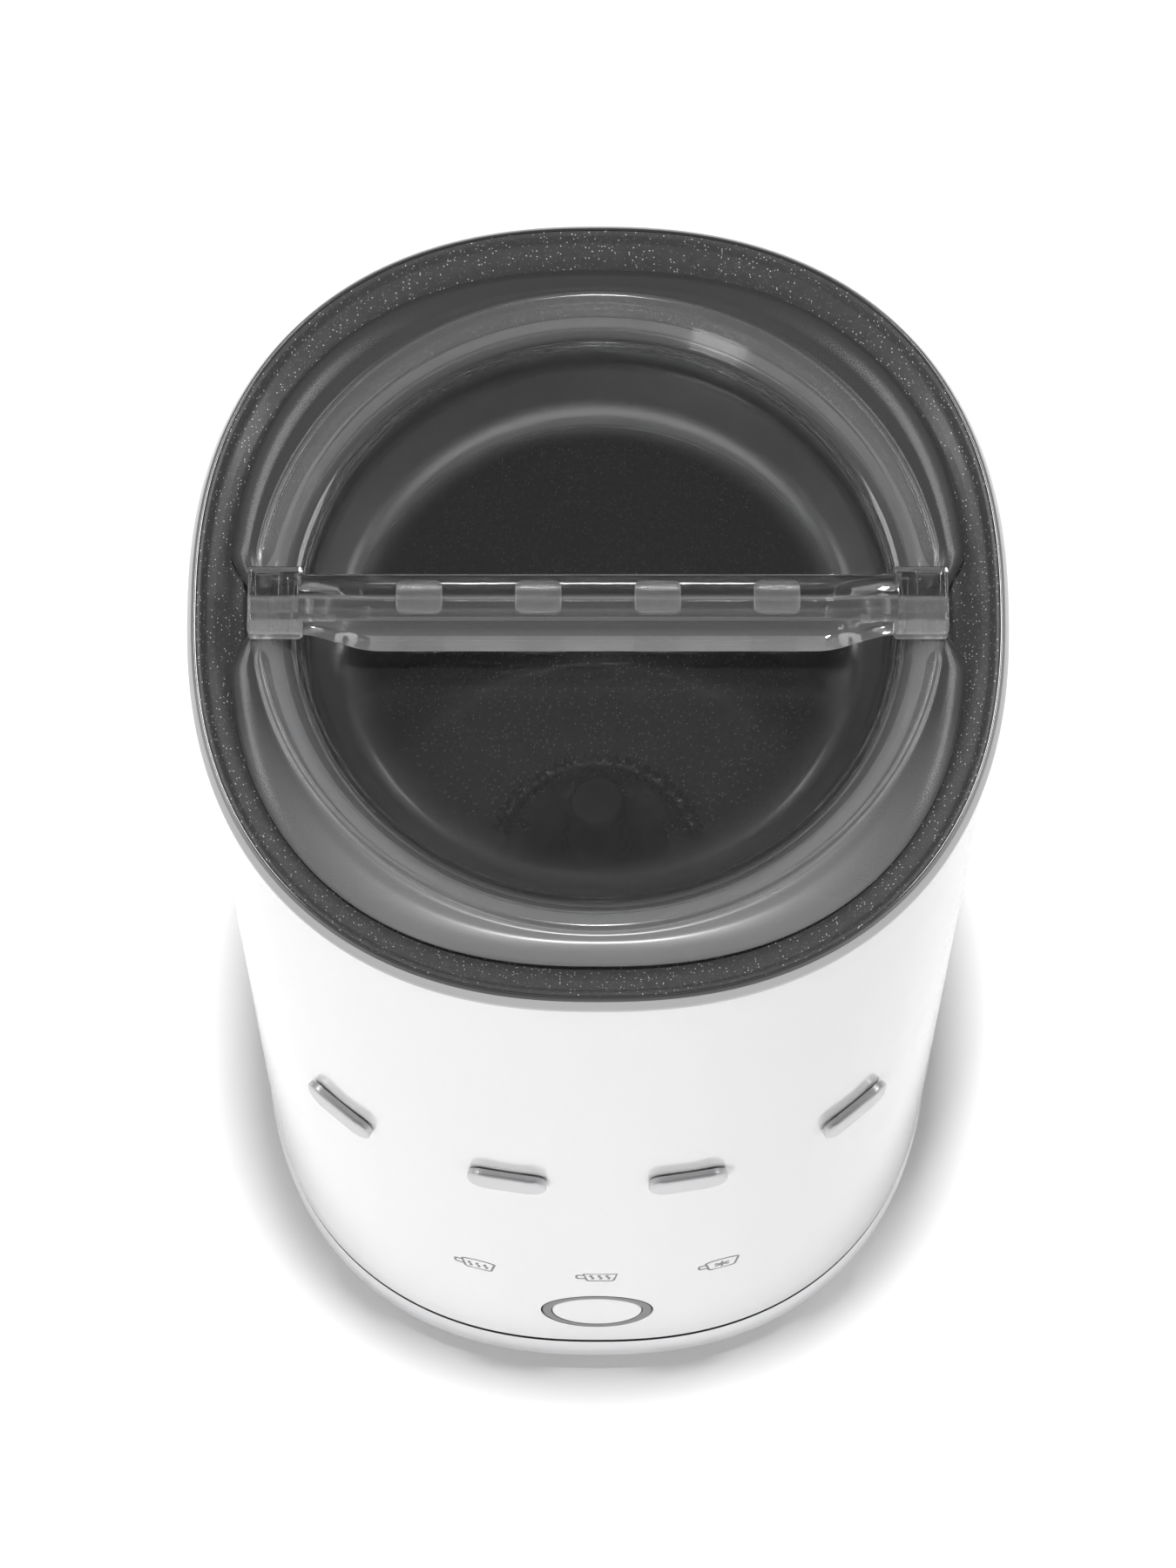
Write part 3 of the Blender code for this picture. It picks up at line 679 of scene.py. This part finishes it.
def base(silver):
    """The silver foot: it meets the body at a fine gap, rolls under to the plate and holds three posts."""
    top = BASE_TOP_Z - SEAM_SHOW
    outline = [(46.4, top, 1, 0.3), (48.85, top, 1, 0.45), (49.1, 10.8, 1, 14), (48.6, 5.4, 1, 5),
               (45.4, 2.1, 1, 4), (42.4, 1.6, 1, 0.5), (41.3, 1.6, 1, 0.2), (41.5, 3.6, 1, 0.3),
               (44.8, 4.4, 1, 1.5), (46.6, 8.0, 1, 2), (46.7, 11.2, 1, 0.4), (12.7, 11.2, 0, 0.1),
               (12.7, 13.0, 0, 0.6), (45.9, 13.0, 1, 0.5)]
    shape = divided(rounded(outline, True, 8), 8)
    made = to_object("base_foot", revolve(shape), 50)
    posts = []
    for degrees in (93, 213, 333):
        x, y = 35 * cos(radians(degrees)), 35 * sin(radians(degrees))
        tube = [(1.7, 3.8, 0, 0.1), (3.8, 3.8, 0, 0.2), (3.8, 12, 0, 0), (1.7, 12, 0, 0)]
        post = revolve(rounded(tube, True), SMALL)
        bmesh.ops.translate(post, vec=(x, y, 0), verts=post.verts)
        posts.append(post)
    carve(made, posts, "UNION", 50)
    gland_hole = revolve(rod(3.7, -4, 4), SMALL)
    bmesh.ops.rotate(gland_hole, cent=(0, 0, 0), matrix=TO_FRONT, verts=gland_hole.verts)
    bmesh.ops.translate(gland_hole, vec=(0, 50, 8), verts=gland_hole.verts)
    carve(made, [gland_hole], "DIFFERENCE", 50)
    show(made, silver, "base", "silver_satin", "base_shell")


def trim_bars(metal):
    """Plain polished bars, bevelled and curved to the wall."""
    width, height, depth = 10.8, 5.6, 1.1
    for i, x in enumerate(TRIM_X):
        bar = pad(width / 2, height / 2, 2.2, depth, 0.45, on_wall(x, BAR_Z, 0.32))
        show(to_object(f"trim_plate_{i + 1}", bar), metal, "jug", "chrome", f"trim_bar_{i + 1}")


def push_button(white, ring_grey):
    """A flush disc in a narrow grey ring. Both follow the curve of the wall."""
    def curved(angle, r, w, square):
        return on_button(r * cos(angle), r * sin(angle), w)

    def straight(angle, r, w, square):
        return wall_point(0, BUTTON_Z) + Vector((r * cos(angle), -w, r * sin(angle)))

    on_button = on_wall(0, BUTTON_Z)
    edge = 0.12
    disc = [(0, -2.8), (BUTTON_R - 0.1, -2.8), (BUTTON_R - 0.1, -edge), (BUTTON_R - 0.1 - edge, 0)]
    disc += [(r, 0) for r in (5.6, 4.4, 3.2, 2.0, 1.0)] + [(0, 0)]
    cap = revolve([(r, w, 0) for r, w in disc], FINE, curved)
    stem = revolve(rod(2.6, -6.9, -2.4), SMALL, straight)
    made = to_object("button_disc", cap)
    carve(made, [stem], "UNION")
    show(made, white, "button", "white_gloss", "push_button")

    outer = BUTTON_RING_R
    collar = [(BUTTON_R + 0.02, -4.6), (9.2, -4.6), (9.2, -2.9), (outer, -2.9), (outer, -0.1),
              (outer - 0.1, 0.02), (BUTTON_R + 0.1, 0.02), (BUTTON_R + 0.02, -0.1)]
    made = to_object("button_collar", revolve([(r, w, 0) for r, w in collar], FINE, curved))
    show(made, ring_grey, "jug", "dark_ring", "button_ring")


def cup_icon(domed, mark):
    """One function's sign: a small cup, its foam, and a wave or a snow mark on it, as (path, closed)."""
    lines = []
    bowl = [(-1.95, 1.35), (-1.45, -1.75), (-1.2, -2.0), (2.1, -2.0), (2.35, -1.75), (2.85, 1.35)]
    if domed:
        lines.append((bowl, False))
        arc = [(0.45 + 2.42 * cos(a), 1.35 + 0.85 * sin(a)) for a in (pi * k / 12 for k in range(13))]
        lines.append((arc, False))
    else:
        lines.append((bowl, True))
    handle = [(-1.85, 0.75), (-2.75, 0.75), (-2.95, 0.55), (-2.95, -0.65), (-2.75, -0.85), (-1.6, -0.85)]
    lines.append((handle, False))
    if mark == "waves":
        for x in (-0.75, 0.4, 1.55):
            wave = [(x + 0.22 * sin(2 * pi * k / 12), -1.15 + 1.9 * k / 12) for k in range(13)]
            lines.append((wave, False))
    else:
        for k in range(3):
            a = pi / 6 + pi * k / 3
            arm = [(0.45 + end * cos(a), -0.2 + end * sin(a)) for end in (-1.2, 1.2)]
            lines.append((arm, False))
    return lines


def icons(ink):
    signs = ((True, "waves"), (False, "waves"), (True, "snow"))
    for i, (x, sign) in enumerate(zip(ICON_X, signs)):
        place = on_wall(x, ICON_Z)
        shapes = [ribbon(path, 0.34, 0.03, place, closed) for path, closed in cup_icon(*sign)]
        show(to_object(f"function_sign_{i + 1}", merged(shapes)), ink, "jug", "dark_ring")


# --- The lid --------------------------------------------------------------------------------------

def lid_place(angle, r, z, square):
    """Outside the ring the lid swells to a squarish outline, except where the lugs pinch it in."""
    x, y = plan_point(angle, r, square, LID_EXPONENT, LID_DEPTH)
    if r > LOBE_START_R:
        away = smoothstep(LUG_HALF_DEPTH, LUG_HALF_DEPTH + 3.4, abs(y))
        keep = lerp((LUG_PINCH_R - LOBE_START_R) / (LID_EDGE_R - LOBE_START_R), 1, away)
        swell = LOBE_START_R + (r - LOBE_START_R) * keep
        x, y = plan_point(angle, swell, square * away, LID_EXPONENT, LID_DEPTH)
        z = lerp(min(z, -1.2), z, away)
    return x, y, RIM_Z + z


def lid_shell(clear):
    """One clear moulding: the well, a bead, the conical ring, the swelling lobes and the skirt."""
    well = [(0, -12.2, 0, 0), (33.6, -12.2, 0, 4.2), (38.35, -8.6, 0, 3.2), (38.6, -4.5, 0, 0.25),
            (38.9, -4.05, 0, 0.3), (39.4, -4.5, 0, 0.3), (40.2, -4.1, 0, 0.35)]
    crest = [(42.2, -1.0, 0, 0.5), (44.5, 0.6, 0, 0.35), (44.95, -0.75, 0, 0.7), (45.9, -0.65, 0.4, 1.2),
             (47.1, -1.1, 0.65, 2.5), (48.0, -1.8, 0.85, 1.2), (LID_EDGE_R, -2.3, 0.9, 0.4)]
    under = [(48.1, -2.75, 0.85, 0.4), (46.6, -3.1, 0.6, 0.6), (44.6, -3.6, 0.2, 0.6), (42.1, -4.3, 0, 0.8),
             (42.1, -17.0, 0, 0.5), (40.9, -17.0, 0, 0.3), (40.9, -6.4, 0, 0.8), (40.0, -6.9, 0, 1.0),
             (39.6, -9.4, 0, 3.0), (34.4, -13.9, 0, 5.0), (0, -13.9, 0, 0)]
    shape = divided(rounded(well + crest + under, False, 9), 5)
    made = to_object("lid_body", revolve(shape, 288, lid_place), 40)
    cuts = []
    for side in (-1, 1):
        near, far = sorted((side * (LUG_X[0] - 1.0), side * (LUG_X[1] + 1.5)))
        low = (near, -LUG_HALF_DEPTH - 0.1, RIM_Z - 1.05)
        cuts.append(box_shape(low, (far, LUG_HALF_DEPTH + 0.1, RIM_Z + 9)))
    drop = HANDLE_TOP_Z - 6.0
    cuts.append(box_shape((-40.6, -3.5, drop), (40.6, 3.5, HANDLE_TOP_Z + 2)))
    carve(made, cuts, "DIFFERENCE", 40)
    show(made, clear, "lid", "clear_plastic", "lid_shell")


def handle_bar():
    """The bar across the lid: troughed on top, bowed in front, deepest in the middle."""
    bm = bmesh.new()
    sections = []
    stations = 64
    for i in range(stations + 1):
        x = BAR_HALF * (2 * i / stations - 1)
        far = abs(x) / BAR_HALF
        end = smoothstep(0.74, 1.0, far)
        depth = lerp(*BAR_DEPTHS, end)
        bow = BAR_BOW * (1 - end)
        trough = BAR_TROUGH * (1 - end)
        half = BAR_HALF_WIDTH
        outline = [(half - 0.35, 0), (half, -0.35), (half, -1.6), (half - 0.3, -depth * 0.55),
                   (half - 1.1, -depth + 0.45), (half - 1.6, -depth), (-half + 1.2, -depth),
                   (-half - bow + 0.35, -depth), (-half - bow, -depth + 0.3), (-half - bow, -depth + 0.8),
                   (-half - bow * 0.45, -depth * 0.5), (-half - 0.05, -1.4), (-half, -0.35),
                   (-half + 0.35, 0)]
        for k in range(9):
            y = lerp(-half + 0.75, half - 0.75, k / 8)
            outline.append((y, -trough * (1 - (y / (half - 0.7)) ** 2)))
        sections.append([bm.verts.new((x, y, HANDLE_TOP_Z + z)) for y, z in outline])
    skin(bm, sections)
    return bm


def lid_handle(clear):
    """The bar and its two end lugs. Each lug has a pocket, a slot and a round rib on top."""
    made = to_object("handle_bar", handle_bar(), 35)
    lugs, cuts, ribs = [], [], []
    inner, outer = LUG_X
    front, back = -LUG_HALF_DEPTH + 0.1, LUG_HALF_DEPTH - 0.1
    for side in (-1, 1):
        def span(a, b, y0, y1, z0, z1):
            near, far = sorted((side * a, side * b))
            return (near, y0, RIM_Z + z0), (far, y1, RIM_Z + z1)

        lugs.append(box_shape(*span(inner, outer - 0.1, front, back, -0.75, 2.75), 0.6, 4))
        cuts.append(box_shape(*span(outer - 4.4, outer - 0.9, 0.3, 3.9, 1.6, 5.5), 0.35))
        cuts.append(box_shape(*span(inner + 0.5, inner + 2.1, 0.4, 2.9, 2.0, 5.5), 0.3))
        barrel = [(0, 0, 0, 0), (1.45, 0, 0, 0.35), (1.45, 7.0, 0, 0.35), (0, 7.0, 0, 0)]
        barrel = revolve(rounded(barrel, False), SMALL)
        bmesh.ops.rotate(barrel, cent=(0, 0, 0), matrix=TO_SIDE, verts=barrel.verts)
        start = inner + 0.2 if side > 0 else -outer + 0.3
        bmesh.ops.translate(barrel, vec=(start, -1.1, RIM_Z + 1.7), verts=barrel.verts)
        ribs.append(barrel)
        wedge = box_shape((-8, -3, -3), (8, 3, 3))
        lean = Matrix.Rotation(radians(40), 3, "X")
        bmesh.ops.rotate(wedge, cent=(0, 0, 0), matrix=lean, verts=wedge.verts)
        bmesh.ops.translate(wedge, vec=(side * 42, front - 1.6, RIM_Z + 4.0), verts=wedge.verts)
        cuts.append(wedge)
    carve(made, lugs, "UNION", 35)
    carve(made, cuts, "DIFFERENCE", 35)
    carve(made, ribs, "UNION", 35)
    show(made, clear, "lid", "clear_plastic", "lid_handle")


def bar_marks(material):
    """Four plain raised pads where the real bar has moulded marks."""
    foot_z = HANDLE_TOP_Z - 0.5
    shapes = []
    for x in MARK_X:
        shapes.append(pad(3.0, 2.45, 1.1, 0.42, 0.16, lambda u, v, w: Vector((x + u, v, foot_z + w))))
    show(to_object("handle_marks", merged(shapes)), material, "lid", "clear_plastic")


def gasket(silicone):
    """A soft band with three sealing lips."""
    bottom, top = -16.6, -5.6
    outline = [(42.35, bottom, 0, 0.1), (42.7, bottom, 0, 0.1)]
    for lip in (-15.4, -11.6, -7.8):
        outline += [(42.7, lip - 0.7, 0, 0.15), (43.3, lip, 0, 0.12), (42.7, lip + 0.7, 0, 0.3)]
    outline += [(42.7, top, 0, 0.3), (44.3, top + 0.4, 0, 0.3), (44.3, top + 1.1, 0, 0.2),
                (42.35, top + 0.5, 0, 0.1)]
    shape = [(r, RIM_Z + z, square) for r, z, square in rounded(outline, True, 20)]
    show(to_object("lid_seal", revolve(shape)), silicone, "lid", "grey_silicone", "lid_gasket")


# --- The whisk ------------------------------------------------------------------------------------

def whisk_core(black):
    """The hub, its raised stem and four flat arms."""
    floor = CUP_FLOOR_Z
    stem = [(0, 8.2, 0, 0), (3.3, 8.2, 0, 0), (3.3, 3.0, 0, 0.2), (10.5, 3.0, 0, 0.3), (10.5, 4.2, 0, 0.4),
            (6.6, 5.5, 0, 2), (4.7, 8.6, 0, 2), (4.0, 12.5, 0, 3), (4.0, 26.7, 0, 1.1), (0, 26.7, 0, 0)]
    hub = revolve(rounded(stem, False, 10), FINE)
    bmesh.ops.translate(hub, vec=(0, 0, floor), verts=hub.verts)
    made = to_object("whisk_core", hub)
    wings = []
    for quarter in range(4):
        turn = Matrix.Rotation(radians(45 + 90 * quarter), 3, "Z")
        inner, outer, half, tip = 7.5, COIL_R - 1.9, 3.6, 1.2
        lift = Vector((0, 0, floor))
        outline = [(inner, -tip), (inner + 2, -half * 0.8), (outer, -half), (outer + 0.3, 0), (outer, half),
                   (inner + 2, half * 0.8), (inner, tip)]
        wing = bmesh.new()
        rings = []
        for z in (3.1, 4.3):
            rings.append([wing.verts.new(turn @ Vector((u, v, z)) + lift) for u, v in outline])
        skin(wing, rings)
        bmesh.ops.recalc_face_normals(wing, faces=wing.faces)
        bmesh.ops.bevel(wing, geom=wing.edges[:], offset=0.25, segments=2, affect="EDGES")
        wings.append(wing)
    carve(made, wings, "UNION")
    show(made, black, "whisk", "black_plastic", "whisk_hub")


def whisk_spring(steel):
    """A wire wound round a ring of thicker wire."""
    floor = CUP_FLOOR_Z
    turns, per_turn = 64, 12
    core = COIL_TUBE_R - WIRE_R
    helix = []
    for k in range(turns * per_turn):
        around, roll = 2 * pi * k / (turns * per_turn), 2 * pi * k / per_turn
        r = COIL_R + core * cos(roll)
        helix.append((r * cos(around), r * sin(around), floor + COIL_Z + core * sin(roll)))
    loop = [(COIL_R * cos(a), COIL_R * sin(a), floor + COIL_Z) for a in (2 * pi * k / 96 for k in range(96))]
    coil = merged([sweep(helix, WIRE_R, 6, True), sweep(loop, 0.6, 8, True)])
    show(to_object("whisk_spring", coil), steel, "whisk", "stainless_steel", "whisk_coil")


# --- Carried-over nodes ---------------------------------------------------------------------------

def finish_works(materials):
    """Gives the CAD nodes that stay their detailed materials."""
    finishes = {
        "black": ("base_plate", "base_connector", "jug_socket", "press_switch", "thermostat"),
        "rubber": ("foot_1", "foot_2", "foot_3", "foot_4", "cord_gland"),
        "brass": ("contact_ring_outer", "contact_ring_inner", "contact_pin", "socket_contact_outer",
                  "socket_contact_inner", "temperature_sensor"),
        "bright": ("base_screw_1", "base_screw_2", "base_screw_3", "cover_screw_1", "cover_screw_2",
                   "cover_screw_3", "motor_shaft", "pivot_pin", "motor", "heating_element"),
        "inner": ("bottom_cover", "motor_frame", "magnet_carrier", "whisk_bush"),
        "silicone": ("cup_support_ring",),
        "aluminium": ("heater_plate",),
        "board": ("control_board",),
        "magnet": ("drive_magnet_1", "drive_magnet_2", "whisk_magnet_1", "whisk_magnet_2"),
        "frosted": ("indicator_led_1", "indicator_led_2", "indicator_led_3", "light_guide_1", "light_guide_2",
                    "light_guide_3"),
        "red": ("live_lead",),
        "blue": ("neutral_lead",),
    }
    for finish, nodes in finishes.items():
        for name in nodes:
            mesh = bpy.data.objects[name].data
            mesh.materials.clear()
            mesh.materials.append(materials[finish])


# --- Camera, floor and light ----------------------------------------------------------------------

def camera():
    data = bpy.data.cameras.new("camera")
    data.lens = CAMERA_LENS
    data.sensor_width = 36
    data.clip_start = 0.01
    eye = bpy.data.objects.new("camera", data)
    eye.location = [place * MM for place in CAMERA_PLACE]
    eye.rotation_euler = (radians(CAMERA_TILT), 0, 0)
    bpy.context.scene.collection.objects.link(eye)
    bpy.context.scene.camera = eye


def floor():
    half = 4.0 / MM
    bm = bmesh.new()
    corners = ((-half, -half), (half, -half), (half, half), (-half, half))
    bm.faces.new([bm.verts.new((x, y, 0)) for x, y in corners])
    made = to_object("floor", bm)
    s = Surface("studio_floor", (0.95, 0.95, 0.95), 0.8, Specular_IOR_Level=0.1)
    s.tint((0.945, 0.945, 0.945), (0.955, 0.955, 0.955), 3)
    made.data.materials.append(s.bump(s.noise(60, 3), 0.02, 0.0001).material)


def lamp(name, location, size, power, lights_surfaces):
    """A rectangular soft lamp aimed at the object, in metres. It either lights surfaces or shines in them."""
    data = bpy.data.lights.new(name, "AREA")
    data.shape = "RECTANGLE"
    data.size, data.size_y = size
    data.energy = power
    made = bpy.data.objects.new(name, data)
    made.location = location
    direction = Vector((0, 0, 0.09)) - Vector(location)
    made.rotation_euler = direction.to_track_quat("-Z", "Y").to_euler()
    made.visible_diffuse = lights_surfaces
    made.visible_glossy = not lights_surfaces
    bpy.context.scene.collection.objects.link(made)


def studio_world():
    """A white surround, bright low down at the sides and dim overhead, in front and behind."""
    world = bpy.data.worlds.new("studio")
    world.use_nodes = True
    nodes, links = world.node_tree.nodes, world.node_tree.links
    background = nodes["Background"]
    direction = nodes.new("ShaderNodeTexCoord")
    parts = nodes.new("ShaderNodeSeparateXYZ")
    ramp = nodes.new("ShaderNodeValToRGB")
    links.new(direction.outputs["Generated"], parts.inputs["Vector"])
    links.new(parts.outputs["Z"], ramp.inputs["Fac"])
    links.new(ramp.outputs["Color"], background.inputs["Color"])
    strength = nodes.new("ShaderNodeMapRange")
    strength.inputs["From Min"].default_value = 0.1
    strength.inputs["From Max"].default_value = 0.8
    strength.inputs["To Min"].default_value = WORLD_STRENGTH
    strength.inputs["To Max"].default_value = WORLD_STRENGTH * FRONT_SHARE
    away = nodes.new("ShaderNodeMath")
    away.operation = "ABSOLUTE"
    links.new(parts.outputs["Y"], away.inputs[0])
    links.new(away.outputs["Value"], strength.inputs["Value"])
    links.new(strength.outputs["Result"], background.inputs["Strength"])
    low, high = ramp.color_ramp.elements
    low.position, low.color = PANEL_TOP
    high.position, high.color = OVERHEAD
    bpy.context.scene.world = world


def lights():
    studio_world()
    bpy.context.scene.view_settings.view_transform = "Standard"
    lamp("overhead", (0.0, -0.12, 6.0), (0.32, 0.32), OVERHEAD_POWER, True)
    lamp("key_left", (-1.0, -1.65, 0.6), (0.5, 1.0), KEY_POWER, True)
    for side in (-1, 1):
        power = BACK_POWER * (1 + BACK_LEAN * side)
        lamp(f"back_{side}", (1.25 * side, 0.75, 1.2), (0.5, 0.8), power, True)
        lamp(f"strip_{side}", (0.85 * side, 0.55, 1.2), (1.3, 0.3), STRIP_SHINE, False)


def main():
    camera()
    floor()
    lights()
    white = gloss_white()
    steel = polished_steel()
    black = moulded("black_plastic", (0.02, 0.02, 0.021), 0.42)
    silicone = soft_silicone()
    bright = bare_metal("bright_steel", (0.6, 0.6, 0.61), 0.25)
    ring_grey = print_grey()

    outer_shell(white)
    cup(steel, speckled_coating())
    base(satin_silver())
    trim_bars(chrome())
    push_button(white, ring_grey)
    icons(ring_grey)
    lid_shell(lid_plastic())
    lid_handle(bar_plastic())
    bar_marks(frosted_plastic())
    gasket(silicone)
    whisk_core(black)
    whisk_spring(bright)
    finish_works({
        "black": black,
        "rubber": moulded("black_rubber", (0.025, 0.025, 0.025), 0.7, 1600),
        "brass": bare_metal("brass", (0.75, 0.55, 0.25), 0.22),
        "bright": bright,
        "inner": moulded("inner_plastic", (0.6, 0.6, 0.58), 0.5),
        "silicone": silicone,
        "aluminium": bare_metal("cast_aluminium", (0.65, 0.65, 0.66), 0.4),
        "board": circuit_board(),
        "magnet": bare_metal("plated_magnet", (0.55, 0.55, 0.57), 0.2),
        "frosted": frosted_plastic(),
        "red": moulded("red_insulation", (0.5, 0.02, 0.02), 0.4),
        "blue": moulded("blue_insulation", (0.03, 0.08, 0.45), 0.4),
    })


main()
